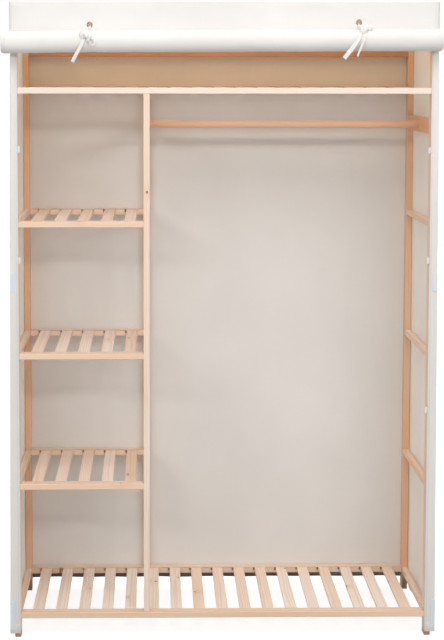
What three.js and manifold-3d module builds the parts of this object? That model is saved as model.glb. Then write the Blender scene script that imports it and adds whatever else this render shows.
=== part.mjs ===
// Free-standing wardrobe: a slatted pine frame under a canvas cover with a roll-up front.
// Millimetres, X to the right, Y to the back, Z up. The feet stand on z = 0.
import * as THREE from "three";
import { mergeVertices } from "three/addons/utils/BufferGeometryUtils.js";
import Module from "manifold-3d";

const wasm = await Module();
wasm.setup();

// Pine frame
const frameWidth = 1112;
const frameDepth = 400;
const postHeight = 1688;
const postWidth = 16;
const postDepth = 30;
const railHeight = 16;
const railDepth = 30;
const timberEase = 1.2;
const jointGap = 0.3;
const stretcherDrop = 136.5;

// Shelves and divider
const bottomShelfTop = 67;
const topShelfDrop = 221;
const shelfSpaces = 4;
const dividerOffset = 204;
const slatWidth = 30;
const slatThickness = 7.5;
const slatPitch = 62;
const slatEndRoom = 20;
const slatDrop = 1;
const slatTenon = 10;

// Hanging rod and its two bearers
const rodDiameter = 20;
const rodDrop = 101;
const rodSeatDepth = 8;
const rodSeatClearance = 0.3;
const bearerHeight = 40;

// Canvas cover
const canvas = 0.9;
const coverBottom = 11;
const backBottom = 33;
const valanceHeight = 71.5;
const sideFlare = 12;
const foldDepth = 4;
const stripInset = 1.5;

// Rolled front curtain
const rollDiameter = 56;
const rollCoreDiameter = 8;
const rollTurns = 16;
const rollOverhang = 18;
const rollShift = 4;

// Ties and their eyelets
const tapeThickness = 1;
const tieWidth = 9;
const gatheredTieWidth = 6.4;
const eyeletSpacing = 700;
const eyeletRoom = 16.5;
const eyeletDiameter = 16;
const eyeletBore = 8.4;
const eyeletBarrel = 10;
const eyeletFlange = 0.5;
const tieKnot = { width: 20, thickness: 10 };
const tieKnotAngle = 42;
const narrowTailWidth = 5;

// Free tails of the ties: their middle lines from the knot down, each point as the distance
// to the right of the eyelet, in front of the roll and above the knot
const leftTailRoute = [
  [-8.2, -1.6, -3.3],
  [-12.5, -0.1, -14.8],
  [-17, 1.5, -25.8],
  [-22, 1.8, -37.8],
  [-30, 1.5, -51.8],
  [-37.5, 1.1, -65.3],
  [-44, 0.8, -78.3],
];
const rightTailRoute = [
  [-8.2, -1.6, -3.3],
  [-12.5, -0.1, -14.3],
  [-17.5, 1.5, -24.3],
  [-23.5, 1.8, -35.8],
  [-31.5, 1.5, -47.3],
  [-39, 1.2, -58.3],
  [-45.5, 0.9, -68.3],
];
const shortTailRoute = [
  [8.6, -2.5, -7.3],
  [7.6, -0.1, -14.8],
  [3.5, 1.7, -24.8],
  [-2.5, 1.8, -35.8],
  [-5.5, 1.5, -45.8],
  [-8.5, 1.2, -54.8],
  [-11, 0.9, -62.8],
];

// Hook-and-loop patches on the front strips
const patchWidth = 13;
const patchThickness = 0.8;
const patchInset = 2.5;
const upperPatch = { name: "upper", heightShare: 0.5515, length: 50 };
const lowerPatch = { name: "lower", heightShare: 0.0107, length: 82 };

// Tapes that tie the cover to the front posts, at shares of the shelf pitch above the bottom shelf
const postTapeWidth = 9;
const postKnot = { width: 7, depth: 10, height: 18 };
const leftTapeShares = [3.53, 2.697];
const rightTapeShares = [3.523, 2.694, 1.551];

// Facets
const roundSegments = 32;
const rollSegments = 16;
const clothColumns = 18;
const clothRows = 14;
const sideFolds = 3;
const backFolds = 7;
const tailSteps = 6;

// Places that follow from the sizes
const halfWidth = frameWidth / 2;
const innerX = halfWidth - postWidth;
const stripReach = jointGap + canvas;
const valanceReach = stripReach + jointGap + canvas;
const rollReach = valanceReach + jointGap + rollDiameter;
const tieKnotReach = rollDiameter / 2 + jointGap + tieKnot.thickness / 2;
const tieKnotForward = tieKnotReach * Math.cos(THREE.MathUtils.degToRad(tieKnotAngle));
const tieKnotUpward = tieKnotReach * Math.sin(THREE.MathUtils.degToRad(tieKnotAngle));
const tieReach = Math.max(
  rollReach + jointGap + tapeThickness,
  rollReach - rollDiameter / 2 + tieKnotForward + tieKnot.thickness / 2,
);
const backReach = jointGap + canvas + foldDepth;
const frontY = (tieReach - backReach - frameDepth) / 2;
const backY = frontY + frameDepth;
const roofHalfWidth = halfWidth + jointGap + canvas;
const valanceBackY = frontY - stripReach - jointGap;
const valanceFrontY = valanceBackY - canvas;
const rollRadius = rollDiameter / 2;
const rollY = valanceFrontY - jointGap - rollRadius;
const rollLength = frameWidth + rollOverhang;
const valanceBottom = postHeight - valanceHeight;
const rollHeight = valanceBottom - rollRadius;
const eyeletHeight = valanceBottom + eyeletRoom;
const topShelfTop = postHeight - topShelfDrop;
const shelfPitch = (topShelfTop - bottomShelfTop) / shelfSpaces;
const rodHeight = topShelfTop - rodDrop;
const dividerX = [-dividerOffset - postWidth / 2, -dividerOffset + postWidth / 2];
const rodY = frontY + frameDepth / 2;
const frontPostY = [frontY, frontY + postDepth];
const rearPostY = [backY - postDepth, backY];
const frontRailY = [frontY, frontY + railDepth];
const rearRailY = [backY - railDepth, backY];
const rungY = [frontY + postDepth + jointGap, backY - postDepth - jointGap];
const fullWidthX = [jointGap - innerX, innerX - jointGap];
const columnX = [jointGap - innerX, dividerX[0] - jointGap];
const roofTimberZ = [postHeight - railHeight, postHeight];

const span = (a, b) => [Math.min(a, b), Math.max(a, b)];
const railZ = (top) => [top - railHeight, top];
const bearerZ = [rodHeight - bearerHeight / 2, rodHeight + bearerHeight / 2];

// Finishes
const pine = { color: 0xe2bd97, roughness: 0.6, metalness: 0 };
const whiteCanvas = { color: 0xf2f0ed, roughness: 0.95, metalness: 0 };
const whiteTape = { color: 0xf7f4f0, roughness: 0.9, metalness: 0 };
const loopPile = { color: 0xfafaf8, roughness: 1, metalness: 0 };
const dullMetal = { color: 0xa39a8f, roughness: 0.42, metalness: 0.9 };

const wardrobe = new THREE.Group();
const frame = new THREE.Group();
const cover = new THREE.Group();
wardrobe.add(frame, cover);

function addMesh(group, name, finish, geometry) {
  const mesh = new THREE.Mesh(geometry, new THREE.MeshStandardMaterial(finish));
  mesh.name = name;
  group.add(mesh);
  return mesh;
}

// Joining and cutting closed geometries
function toSolid(geometry) {
  const bare = geometry.clone();
  bare.deleteAttribute("normal");
  bare.deleteAttribute("uv");
  const merged = mergeVertices(bare);
  const vertProperties = new Float32Array(merged.attributes.position.array);
  const triVerts = new Uint32Array(merged.index.array);
  return new wasm.Manifold(new wasm.Mesh({ numProp: 3, vertProperties, triVerts }));
}

function toGeometry(solid) {
  const { vertProperties, triVerts } = solid.getMesh();
  const geometry = new THREE.BufferGeometry();
  geometry.setAttribute("position", new THREE.BufferAttribute(vertProperties, 3));
  geometry.setIndex(new THREE.BufferAttribute(triVerts, 1));
  return geometry;
}

function joined(geometries) {
  return toGeometry(geometries.map(toSolid).reduce((whole, next) => whole.add(next)));
}

function rectangle(width, height) {
  const outline = new THREE.Shape();
  outline.moveTo(-width / 2, -height / 2);
  outline.lineTo(width / 2, -height / 2);
  outline.lineTo(width / 2, height / 2);
  outline.lineTo(-width / 2, height / 2);
  outline.closePath();
  return outline;
}

// A bar of timber with eased edges, between two values along each axis
function barGeometry(x, y, z) {
  const size = [x, y, z].map(([low, high]) => high - low);
  const section = rectangle(size[0] - 2 * timberEase, size[1] - 2 * timberEase);
  const geometry = new THREE.ExtrudeGeometry(section, {
    depth: size[2] - 2 * timberEase,
    bevelSize: timberEase,
    bevelThickness: timberEase,
    bevelSegments: 1,
  });
  geometry.translate((x[0] + x[1]) / 2, (y[0] + y[1]) / 2, z[0] + timberEase);
  return geometry;
}

function addBar(name, x, y, z) {
  addMesh(frame, name, pine, barGeometry(x, y, z));
}

// Posts
function addPosts() {
  for (const [side, sign] of [["left", -1], ["right", 1]]) {
    const x = span(sign * innerX, sign * halfWidth);
    addBar(`front_${side}_post`, x, frontPostY, [0, postHeight]);
    addBar(`rear_${side}_post`, x, rearPostY, [0, postHeight]);
  }
  const dividerZ = [bottomShelfTop + jointGap, topShelfTop - railHeight - jointGap];
  addBar("front_divider_post", dividerX, frontPostY, dividerZ);
  addBar("rear_divider_post", dividerX, rearPostY, dividerZ);
}

// Rungs that join each front post to the rear post behind it
function addRungs() {
  const levels = ["bottom", "lower", "middle", "upper"];
  levels.forEach((level, index) => {
    const z = railZ(bottomShelfTop + index * shelfPitch);
    addBar(`left_${level}_rung`, span(-innerX, -halfWidth), rungY, z);
    addBar(`right_${level}_rung`, span(innerX, halfWidth), rungY, z);
    if (index > 0) addBar(`divider_${level}_rung`, dividerX, rungY, z);
  });
  addBar("left_roof_rung", span(-innerX, -halfWidth), rungY, roofTimberZ);
  addBar("right_roof_rung", span(innerX, halfWidth), rungY, roofTimberZ);
}

// Slatted shelves: a front rail, and a rear rail with the slats glued into it
function slatCentres([low, high]) {
  const reach = slatWidth / 2 + slatEndRoom;
  const first = Math.ceil((low + reach) / slatPitch);
  const last = Math.floor((high - reach) / slatPitch);
  return Array.from({ length: last - first + 1 }, (_, i) => (first + i) * slatPitch);
}

function addShelf(name, x, top) {
  const slatY = [frontY + railDepth + jointGap, backY - railDepth + slatTenon];
  const slatZ = [top - slatDrop - slatThickness, top - slatDrop];
  const slats = slatCentres(x).map((centre) =>
    barGeometry([centre - slatWidth / 2, centre + slatWidth / 2], slatY, slatZ),
  );
  const rearRail = barGeometry(x, rearRailY, railZ(top));
  addBar(`${name}_shelf_front_rail`, x, frontRailY, railZ(top));
  addMesh(frame, `${name}_shelf_slats`, pine, joined([rearRail, ...slats]));
}

function addShelves() {
  addShelf("bottom", fullWidthX, bottomShelfTop);
  addShelf("lower", columnX, bottomShelfTop + shelfPitch);
  addShelf("middle", columnX, bottomShelfTop + 2 * shelfPitch);
  addShelf("upper", columnX, bottomShelfTop + 3 * shelfPitch);
  addShelf("top", fullWidthX, topShelfTop);
}

// Rails without slats: the stretcher above the top shelf and the two that carry the roof
function addUpperRails() {
  const stretcherZ = railZ(postHeight - stretcherDrop + railHeight);
  addBar("rear_upper_rail", fullWidthX, rearRailY, stretcherZ);
  addBar("roof_front_rail", fullWidthX, frontRailY, roofTimberZ);
  addBar("roof_rear_rail", fullWidthX, rearRailY, roofTimberZ);
}

// Hanging rod, seated in a blind hole of each bearer
function rodGeometry(diameter, fromX, toX) {
  const radius = diameter / 2;
  const geometry = new THREE.CylinderGeometry(radius, radius, toX - fromX, roundSegments);
  geometry.rotateZ(Math.PI / 2);
  geometry.translate((fromX + toX) / 2, rodY, rodHeight);
  return geometry;
}

function addRod() {
  const seatX = [dividerX[1] - rodSeatDepth, innerX + rodSeatDepth];
  const seat = toSolid(rodGeometry(rodDiameter + 2 * rodSeatClearance, ...seatX));
  const bearers = { divider_rod_bearer: dividerX, right_rod_bearer: [innerX, halfWidth] };
  for (const [name, x] of Object.entries(bearers)) {
    const board = toSolid(barGeometry(x, rungY, bearerZ));
    addMesh(frame, name, pine, toGeometry(board.subtract(seat)));
  }
  const rodX = [seatX[0] + rodSeatClearance, seatX[1] - rodSeatClearance];
  addMesh(frame, "hanging_rod", pine, rodGeometry(rodDiameter, ...rodX));
}

// A closed slab of cloth: face(u, v) is its inner face, and through its thickness as a vector
function clothGeometry(columns, rows, face, through) {
  const points = [];
  const corner = face(0, 0);
  const across = face(1, 0).sub(corner);
  const along = face(0, 1).sub(corner);
  const turned = across.cross(along).dot(through) < 0;
  for (const offset of [new THREE.Vector3(), through]) {
    for (let row = 0; row <= rows; row++) {
      for (let column = 0; column <= columns; column++) {
        points.push(face(column / columns, row / rows).add(offset));
      }
    }
  }
  const at = (column, row) => row * (columns + 1) + column;
  const outside = (columns + 1) * (rows + 1);
  const index = [];
  const triangle = (a, b, c) => index.push(...(turned ? [a, c, b] : [a, b, c]));
  for (let row = 0; row < rows; row++) {
    for (let column = 0; column < columns; column++) {
      const [a, b] = [at(column, row), at(column + 1, row)];
      const [c, d] = [at(column + 1, row + 1), at(column, row + 1)];
      triangle(a, c, b);
      triangle(a, d, c);
      triangle(outside + a, outside + b, outside + c);
      triangle(outside + a, outside + c, outside + d);
    }
  }
  const rim = [];
  for (let column = 0; column < columns; column++) rim.push(at(column, 0));
  for (let row = 0; row < rows; row++) rim.push(at(columns, row));
  for (let column = columns; column > 0; column--) rim.push(at(column, rows));
  for (let row = rows; row > 0; row--) rim.push(at(0, row));
  rim.forEach((from, i) => {
    const to = rim[(i + 1) % rim.length];
    triangle(from, to, outside + to);
    triangle(from, outside + to, outside + from);
  });
  const geometry = new THREE.BufferGeometry().setFromPoints(points);
  geometry.setIndex(index);
  return geometry;
}

const flareAt = (z) => (sideFlare * (postHeight - z)) / (postHeight - coverBottom);
const fold = (u, count) => (1 - Math.cos(2 * Math.PI * count * u)) / 2;
const between = ([low, high], share) => low + (high - low) * share;

// Side panels hang from the roof, stand off the frame towards the floor and fold a little
function addSidePanel(side, sign) {
  const face = (u, v) => {
    const z = between([coverBottom, postHeight], v);
    const inward = foldDepth * (1 - v) * fold(u, sideFolds);
    const x = halfWidth + jointGap + flareAt(z) - inward;
    return new THREE.Vector3(sign * x, between([frontY, backY], u), z);
  };
  const through = new THREE.Vector3(sign * canvas, 0, 0);
  addMesh(cover, `${side}_panel`, whiteCanvas, clothGeometry(clothColumns, clothRows, face, through));
}

// Front strips cover the front posts and carry the patches
function addFrontStrip(side, sign) {
  const face = (u, v) => {
    const z = between([coverBottom, postHeight], v);
    const x = between([innerX + stripInset, roofHalfWidth + flareAt(z)], u);
    return new THREE.Vector3(sign * x, frontY - jointGap, z);
  };
  const through = new THREE.Vector3(0, -canvas, 0);
  addMesh(cover, `${side}_front_strip`, whiteCanvas, clothGeometry(1, clothRows, face, through));
}

function addPatch(side, sign, { name, heightShare, length }) {
  const centreX = innerX + patchInset + patchWidth / 2;
  const geometry = new THREE.BoxGeometry(patchWidth, patchThickness, length);
  const y = frontY - stripReach - jointGap - patchThickness / 2;
  geometry.translate(sign * centreX, y, heightShare * postHeight + length / 2);
  addMesh(cover, `${side}_${name}_patch`, loopPile, geometry);
}

function addBackPanel() {
  const face = (u, v) => {
    const z = between([backBottom, postHeight], v);
    const reach = roofHalfWidth + flareAt(z);
    const y = backY + jointGap + foldDepth * (1 - v) * fold(u, backFolds);
    return new THREE.Vector3(between([-reach, reach], u), y, z);
  };
  const through = new THREE.Vector3(0, canvas, 0);
  const columns = 4 * backFolds;
  addMesh(cover, "back_panel", whiteCanvas, clothGeometry(columns, clothRows, face, through));
}

function addRoof() {
  const y = [valanceFrontY, backY + jointGap + canvas];
  const geometry = new THREE.BoxGeometry(2 * roofHalfWidth, y[1] - y[0], canvas);
  geometry.translate(0, (y[0] + y[1]) / 2, postHeight + jointGap + canvas / 2);
  addMesh(cover, "roof_panel", whiteCanvas, geometry);
}

// The front above the roll, with a hole for each eyelet
function addValance() {
  const height = postHeight - valanceBottom;
  const middle = (postHeight + valanceBottom) / 2;
  const outline = rectangle(2 * roofHalfWidth, height);
  for (const x of [-eyeletSpacing / 2, eyeletSpacing / 2]) {
    const hole = new THREE.Path();
    hole.absarc(x, eyeletHeight - middle, eyeletBarrel / 2 + jointGap, 0, 2 * Math.PI);
    outline.holes.push(hole);
  }
  const geometry = new THREE.ExtrudeGeometry(outline, { depth: canvas, bevelEnabled: false });
  geometry.rotateX(Math.PI / 2);
  geometry.translate(0, valanceBackY, middle);
  addMesh(cover, "front_valance", whiteCanvas, geometry);
}

// The stretch of curtain between the valance and the roll, which grows as the roll comes down
function addCurtainSheet() {
  const height = valanceBottom - jointGap - rollHeight;
  const geometry = new THREE.BoxGeometry(2 * roofHalfWidth, canvas, height);
  geometry.translate(0, valanceFrontY + canvas / 2, rollHeight + height / 2);
  addMesh(cover, "front_curtain_sheet", whiteCanvas, geometry);
}

// Turns a section drawn in Y and Z, extruded along its third axis, to run along X
function alongX(geometry, fromX) {
  const axes = [new THREE.Vector3(0, 1, 0), new THREE.Vector3(0, 0, 1), new THREE.Vector3(1, 0, 0)];
  geometry.applyMatrix4(new THREE.Matrix4().makeBasis(...axes));
  geometry.translate(fromX, 0, 0);
  return geometry;
}

// The rolled curtain is one sheet wound inwards from its rear tangent
function addCurtainRoll() {
  const pitch = (rollRadius - rollCoreDiameter / 2) / rollTurns;
  const steps = rollTurns * rollSegments;
  const outer = [];
  const inner = [];
  for (let step = 0; step <= steps; step++) {
    const angle = (-2 * Math.PI * step) / rollSegments;
    const radius = rollRadius - (pitch * step) / rollSegments;
    const direction = new THREE.Vector2(Math.cos(angle), Math.sin(angle));
    outer.push(direction.clone().multiplyScalar(radius));
    inner.push(direction.clone().multiplyScalar(radius - canvas));
  }
  const gaps = outer.slice(rollSegments).map((point, i) => point.distanceTo(inner[i]));
  console.log("least gap between turns of the roll, mm:", Math.min(...gaps).toFixed(2));
  const outline = new THREE.Shape([...outer, ...inner.reverse()]);
  const geometry = new THREE.ExtrudeGeometry(outline, { depth: rollLength, bevelEnabled: false });
  alongX(geometry, -rollLength / 2 - rollShift);
  geometry.translate(0, rollY, rollHeight);
  addMesh(cover, "front_curtain_roll", whiteCanvas, geometry);
}

function addEyelet(side, x) {
  const front = -canvas / 2 - jointGap - eyeletFlange;
  const frontInner = front + eyeletFlange;
  const profile = [
    [eyeletBore / 2, front],
    [eyeletDiameter / 2, front],
    [eyeletDiameter / 2, frontInner],
    [eyeletBarrel / 2, frontInner],
    [eyeletBarrel / 2, canvas / 2],
    [eyeletBore / 2, canvas / 2],
    [eyeletBore / 2, front],
  ].map(([radius, y]) => new THREE.Vector2(radius, y));
  const geometry = new THREE.LatheGeometry(profile, roundSegments);
  geometry.translate(x, (valanceFrontY + valanceBackY) / 2, eyeletHeight);
  addMesh(cover, `${side}_eyelet`, dullMetal, geometry);
}

// Points beside a line, at a distance to its left, with mitred corners
function besideLine(points, distance, closed) {
  const count = points.length;
  const normal = (a, b) => {
    const step = b.clone().sub(a).normalize();
    return new THREE.Vector2(-step.y, step.x);
  };
  return points.map((point, i) => {
    const before = closed || i > 0 ? normal(points[(i + count - 1) % count], point) : null;
    const after = closed || i < count - 1 ? normal(point, points[(i + 1) % count]) : null;
    const middle = (before ?? after).clone().add(after ?? before).normalize();
    return middle.multiplyScalar(distance / middle.dot(after ?? before)).add(point);
  });
}

// A tie: a tape through the eyelet, behind the curtain, round the roll and into its knot in front
function addTie(side, x) {
  const loopRadius = rollRadius + jointGap + tapeThickness / 2;
  const rearY = valanceBackY + jointGap + tapeThickness / 2 - rollY;
  const eyeletZ = eyeletHeight - rollHeight;
  const frontTieY = valanceFrontY - jointGap - eyeletFlange - tapeThickness - rollY;
  const toFront = new THREE.Vector2(frontTieY, eyeletZ);
  const tangent = toFront.angle() + Math.acos(loopRadius / toFront.length());
  const leave = (7 * Math.PI) / 4;
  const line = [new THREE.Vector2(rearY, eyeletZ), toFront];
  for (let step = 0; step <= roundSegments; step++) {
    const angle = between([tangent, leave], step / roundSegments);
    line.push(new THREE.Vector2(Math.cos(angle), Math.sin(angle)).multiplyScalar(loopRadius));
  }
  line.push(new THREE.Vector2(rearY, -rearY / 3));
  const outline = new THREE.Shape(besideLine(line, -tapeThickness / 2, true));
  outline.holes.push(new THREE.Path(besideLine(line, tapeThickness / 2, true)));
  const loop = new THREE.ExtrudeGeometry(outline, { depth: gatheredTieWidth, bevelEnabled: false });
  alongX(loop, x - gatheredTieWidth / 2);
  loop.translate(0, rollY, rollHeight);
  addMesh(cover, `${side}_tie`, whiteTape, joined([loop, knotGeometry(x)]));
}

function knotGeometry(x) {
  const knot = new THREE.SphereGeometry(tieKnot.thickness / 2, roundSegments / 2, roundSegments / 4);
  knot.scale(tieKnot.width / tieKnot.thickness, 1, 1);
  knot.translate(x, rollY - tieKnotForward, rollHeight + tieKnotUpward);
  return knot;
}

// A free tail of a tie, as a tape along its route
function addTail(name, eyeletX, width, route) {
  const knotZ = rollHeight + tieKnotUpward;
  const points = route.map(
    ([right, forward, up]) =>
      new THREE.Vector3(eyeletX + right, rollY - rollRadius - forward, knotZ + up),
  );
  const curve = new THREE.CatmullRomCurve3(points);
  const outward = new THREE.Vector3(0, -1, 0);
  const face = (u, v) => {
    const acrossTape = curve.getTangent(v).cross(outward).normalize();
    return curve.getPoint(v).addScaledVector(acrossTape, (u - 1 / 2) * width);
  };
  const through = outward.clone().multiplyScalar(tapeThickness);
  addMesh(cover, name, whiteTape, clothGeometry(1, tailSteps * 2, face, through));
}

// A tape round the inner and rear face of a front post, with its knot at the front
function addPostTape(side, sign, height, number) {
  const x = innerX - jointGap - tapeThickness / 2;
  const y = frontY + postDepth + jointGap + tapeThickness / 2;
  const line = [[sign * x, frontY], [sign * x, y], [sign * halfWidth, y]];
  const points = line.map((point) => new THREE.Vector2(...point));
  const oneSide = besideLine(points, tapeThickness / 2, false);
  const otherSide = besideLine(points, -tapeThickness / 2, false);
  const outline = new THREE.Shape([...oneSide, ...otherSide.reverse()]);
  const tape = new THREE.ExtrudeGeometry(outline, { depth: postTapeWidth, bevelEnabled: false });
  tape.translate(0, 0, height - postTapeWidth / 2);
  const knot = new THREE.SphereGeometry(1, roundSegments / 2, roundSegments / 4);
  knot.scale(postKnot.width / 2, postKnot.depth / 2, postKnot.height / 2);
  knot.translate(sign * (innerX - jointGap - postKnot.width / 2), frontY + postKnot.depth / 2, height);
  addMesh(cover, `${side}_post_tape_${number}`, whiteTape, joined([tape, knot]));
}

addPosts();
addRungs();
addShelves();
addUpperRails();
addRod();
addRoof();
addBackPanel();
addValance();
addCurtainSheet();
addCurtainRoll();
for (const [side, sign, shares] of [["left", -1, leftTapeShares], ["right", 1, rightTapeShares]]) {
  addSidePanel(side, sign);
  addFrontStrip(side, sign);
  addPatch(side, sign, upperPatch);
  addPatch(side, sign, lowerPatch);
  addEyelet(side, (sign * eyeletSpacing) / 2);
  addTie(side, (sign * eyeletSpacing) / 2);
  shares.forEach((share, index) => {
    addPostTape(side, sign, bottomShelfTop + share * shelfPitch, index + 1);
  });
}
addTail("left_tie_tail", -eyeletSpacing / 2, tieWidth, leftTailRoute);
addTail("right_tie_tail", eyeletSpacing / 2, tieWidth, rightTailRoute);
addTail("right_tie_short_tail", eyeletSpacing / 2, narrowTailWidth, shortTailRoute);

export default wardrobe;
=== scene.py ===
import math

import bmesh
import bpy
from mathutils import Matrix, Vector, noise


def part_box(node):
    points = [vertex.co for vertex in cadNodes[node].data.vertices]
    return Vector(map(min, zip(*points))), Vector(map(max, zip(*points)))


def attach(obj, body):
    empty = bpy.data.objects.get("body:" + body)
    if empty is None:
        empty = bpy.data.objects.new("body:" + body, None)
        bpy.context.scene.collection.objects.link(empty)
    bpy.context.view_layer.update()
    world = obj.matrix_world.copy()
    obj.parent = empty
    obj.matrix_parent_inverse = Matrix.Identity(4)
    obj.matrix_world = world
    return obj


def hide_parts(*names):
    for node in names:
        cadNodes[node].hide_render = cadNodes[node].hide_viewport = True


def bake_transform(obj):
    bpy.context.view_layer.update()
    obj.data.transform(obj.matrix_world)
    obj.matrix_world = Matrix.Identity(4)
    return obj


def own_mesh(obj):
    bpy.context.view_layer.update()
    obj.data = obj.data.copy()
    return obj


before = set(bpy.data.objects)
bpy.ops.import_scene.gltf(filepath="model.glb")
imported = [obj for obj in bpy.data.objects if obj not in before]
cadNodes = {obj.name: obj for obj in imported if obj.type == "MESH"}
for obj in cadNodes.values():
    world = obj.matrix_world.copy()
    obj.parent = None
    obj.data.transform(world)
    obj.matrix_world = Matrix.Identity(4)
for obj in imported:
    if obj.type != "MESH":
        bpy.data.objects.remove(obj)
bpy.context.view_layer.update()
mm = 0.001

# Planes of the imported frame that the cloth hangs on, in metres
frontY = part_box("front_left_post")[0].y
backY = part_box("rear_left_post")[1].y
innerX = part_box("front_right_post")[0].x
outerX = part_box("front_right_post")[1].x
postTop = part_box("front_left_post")[1].z
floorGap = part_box("left_panel")[0].z
timberDepth = 30 * mm
seam = 0.3 * mm
canvasThickness = 0.9 * mm
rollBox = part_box("front_curtain_roll")
rollY = (rollBox[0].y + rollBox[1].y) / 2
rollZ = (rollBox[0].z + rollBox[1].z) / 2
rollRadius = (rollBox[1].z - rollBox[0].z) / 2


# Camera

camera = {
    "place": (-0.1888, frontY - 3.995, 1.5034),
    "pitchDown": 4.717,
    "yawRight": 0.924,
    "roll": 0.059,
    "lens": 86.136,
    "shift": (0.0703, -0.1875),
}


def addCamera():
    data = bpy.data.cameras.new("photo_camera")
    data.sensor_width = 36
    data.lens = camera["lens"]
    data.shift_x, data.shift_y = camera["shift"]
    data.clip_end = 40
    view = bpy.data.objects.new("photo_camera", data)
    turn = Matrix.Rotation(math.radians(-camera["yawRight"]), 4, "Z")
    tilt = Matrix.Rotation(math.radians(90 - camera["pitchDown"]), 4, "X")
    level = Matrix.Rotation(math.radians(camera["roll"]), 4, "Z")
    view.matrix_world = Matrix.Translation(camera["place"]) @ turn @ tilt @ level
    bpy.context.scene.collection.objects.link(view)
    bpy.context.scene.camera = view


addCamera()
print("camera in place")


# Wiring of materials


def arithmetic(operation, swapped=False):
    def applied(self, other):
        pair = (other, self) if swapped else (self, other)
        return self.wiring.maths(operation, *pair)

    return applied


class Signal:
    # an output socket; arithmetic on it adds Math nodes
    def __init__(self, wiring, socket):
        self.wiring = wiring
        self.socket = socket

    def out(self, name):
        return Signal(self.wiring, self.socket.node.outputs[name])

    __add__, __radd__ = arithmetic("ADD"), arithmetic("ADD", True)
    __sub__, __rsub__ = arithmetic("SUBTRACT"), arithmetic("SUBTRACT", True)
    __mul__, __rmul__ = arithmetic("MULTIPLY"), arithmetic("MULTIPLY", True)
    __truediv__ = arithmetic("DIVIDE")


def colour(red, green, blue):
    # screen values from 0 to 255, as a linear colour
    def linear(value):
        share = value / 255
        return share / 12.92 if share <= 0.04045 else ((share + 0.055) / 1.055) ** 2.4

    return (linear(red), linear(green), linear(blue), 1)


def pick(sockets, name):
    # a socket by its number, identifier or name
    if isinstance(name, int):
        return sockets[name]
    return next(s for s in sockets if name in (s.identifier, s.name))


class Wiring:
    # adds and joins the shader nodes of a material or of the world
    def __init__(self, tree):
        self.tree = tree

    def feed(self, node, name, value):
        socket = pick(node.inputs, name)
        if isinstance(value, Signal):
            self.tree.links.new(value.socket, socket)
        else:
            socket.default_value = value

    def node(self, kind, values, output=0, stops=(), **settings):
        node = self.tree.nodes.new("ShaderNode" + kind)
        for name, value in settings.items():
            setattr(node, name, value)
        if stops:
            ramp = node.color_ramp.elements
            while len(ramp) < len(stops):
                ramp.new(0.5)
            for element, (place, shade) in zip(ramp, stops):
                element.position = place
                element.color = shade if isinstance(shade, tuple) else (shade, shade, shade, 1)
        for name, value in values.items():
            self.feed(node, name, value)
        return Signal(self, pick(node.outputs, output))

    def seen(self):
        # 1 where the camera looks, straight or in a mirror or through glass, else 0
        rays = self.node("LightPath", {}, "Is Camera Ray")
        seen = self.maths("MAXIMUM", rays, rays.out("Is Glossy Ray"))
        return self.maths("MAXIMUM", seen, rays.out("Is Transmission Ray"))

    def maths(self, operation, *values):
        return self.node("Math", dict(enumerate(values)), operation=operation)

    def vector(self, x, y, z):
        return self.node("CombineXYZ", {"X": x, "Y": y, "Z": z})

    def noise(self, x, y, z, detail=2.0, roughness=0.5):
        shape = {"Scale": 1.0, "Detail": detail, "Roughness": roughness}
        return self.node("TexNoise", {"Vector": self.vector(x, y, z), **shape})

    def ease(self, value, low, high, fromValue=0.0, toValue=1.0):
        # a smooth step of value from low to high
        limits = {"From Min": low, "From Max": high, "To Min": fromValue, "To Max": toValue}
        return self.node("MapRange", {"Value": value, **limits}, interpolation_type="SMOOTHSTEP")

    def mixed(self, share, first, second, blend="MIX"):
        values = {"Factor_Float": share, "A_Color": first, "B_Color": second}
        return self.node("Mix", values, "Result_Color", data_type="RGBA", blend_type=blend)

    def split(self, vector):
        found = self.node("SeparateXYZ", {"Vector": vector}, "X")
        return found, found.out("Y"), found.out("Z")

    def shaded(self, base, level):
        # a colour made lighter or darker by a number
        return self.mixed(1.0, base, self.vector(level, level, level), "MULTIPLY")

    def chosen(self, share, first, second):
        values = {"Factor_Float": share, "A_Float": first, "B_Float": second}
        return self.node("Mix", values, "Result_Float", data_type="FLOAT")


class Finish(Wiring):
    # a material around its Principled shader
    def __init__(self, name, **constants):
        self.material = bpy.data.materials.new(name)
        self.material.use_nodes = True
        super().__init__(self.material.node_tree)
        self.shader = self.tree.nodes["Principled BSDF"]
        self.shell = Signal(self, self.shader.outputs[0])
        for socket, value in constants.items():
            self.shader.inputs[socket.replace("_", " ")].default_value = value

    def place(self):
        return self.split(self.node("TexCoord", {}, "Object"))

    def weave(self):
        return self.split(self.node("UVMap", {}, uv_map="weave"))

    def speckle(self, perMetre, detail, roughness=0.5):
        return self.noise(*[axis * perMetre for axis in self.place()], detail, roughness)

    def show(self, share, first, second):
        # a mix of two shaders as the surface
        both = self.node("MixShader", {0: share, 1: first, 2: second})
        self.tree.links.new(both.socket, self.tree.nodes["Material Output"].inputs["Surface"])

    def glow(self, share, tint):
        # lets some light through, as thin cloth does
        self.show(share, self.shell, self.node("BsdfTranslucent", {"Color": tint}))

    def finish(self, base, roughness, height, depth, strength):
        relief = self.node("Bump", {"Height": height, "Distance": depth, "Strength": strength})
        for name, value in (("Base Color", base), ("Roughness", roughness), ("Normal", relief)):
            self.feed(self.shader, name, value)
        return self.material


# Cloth and tape materials

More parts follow.
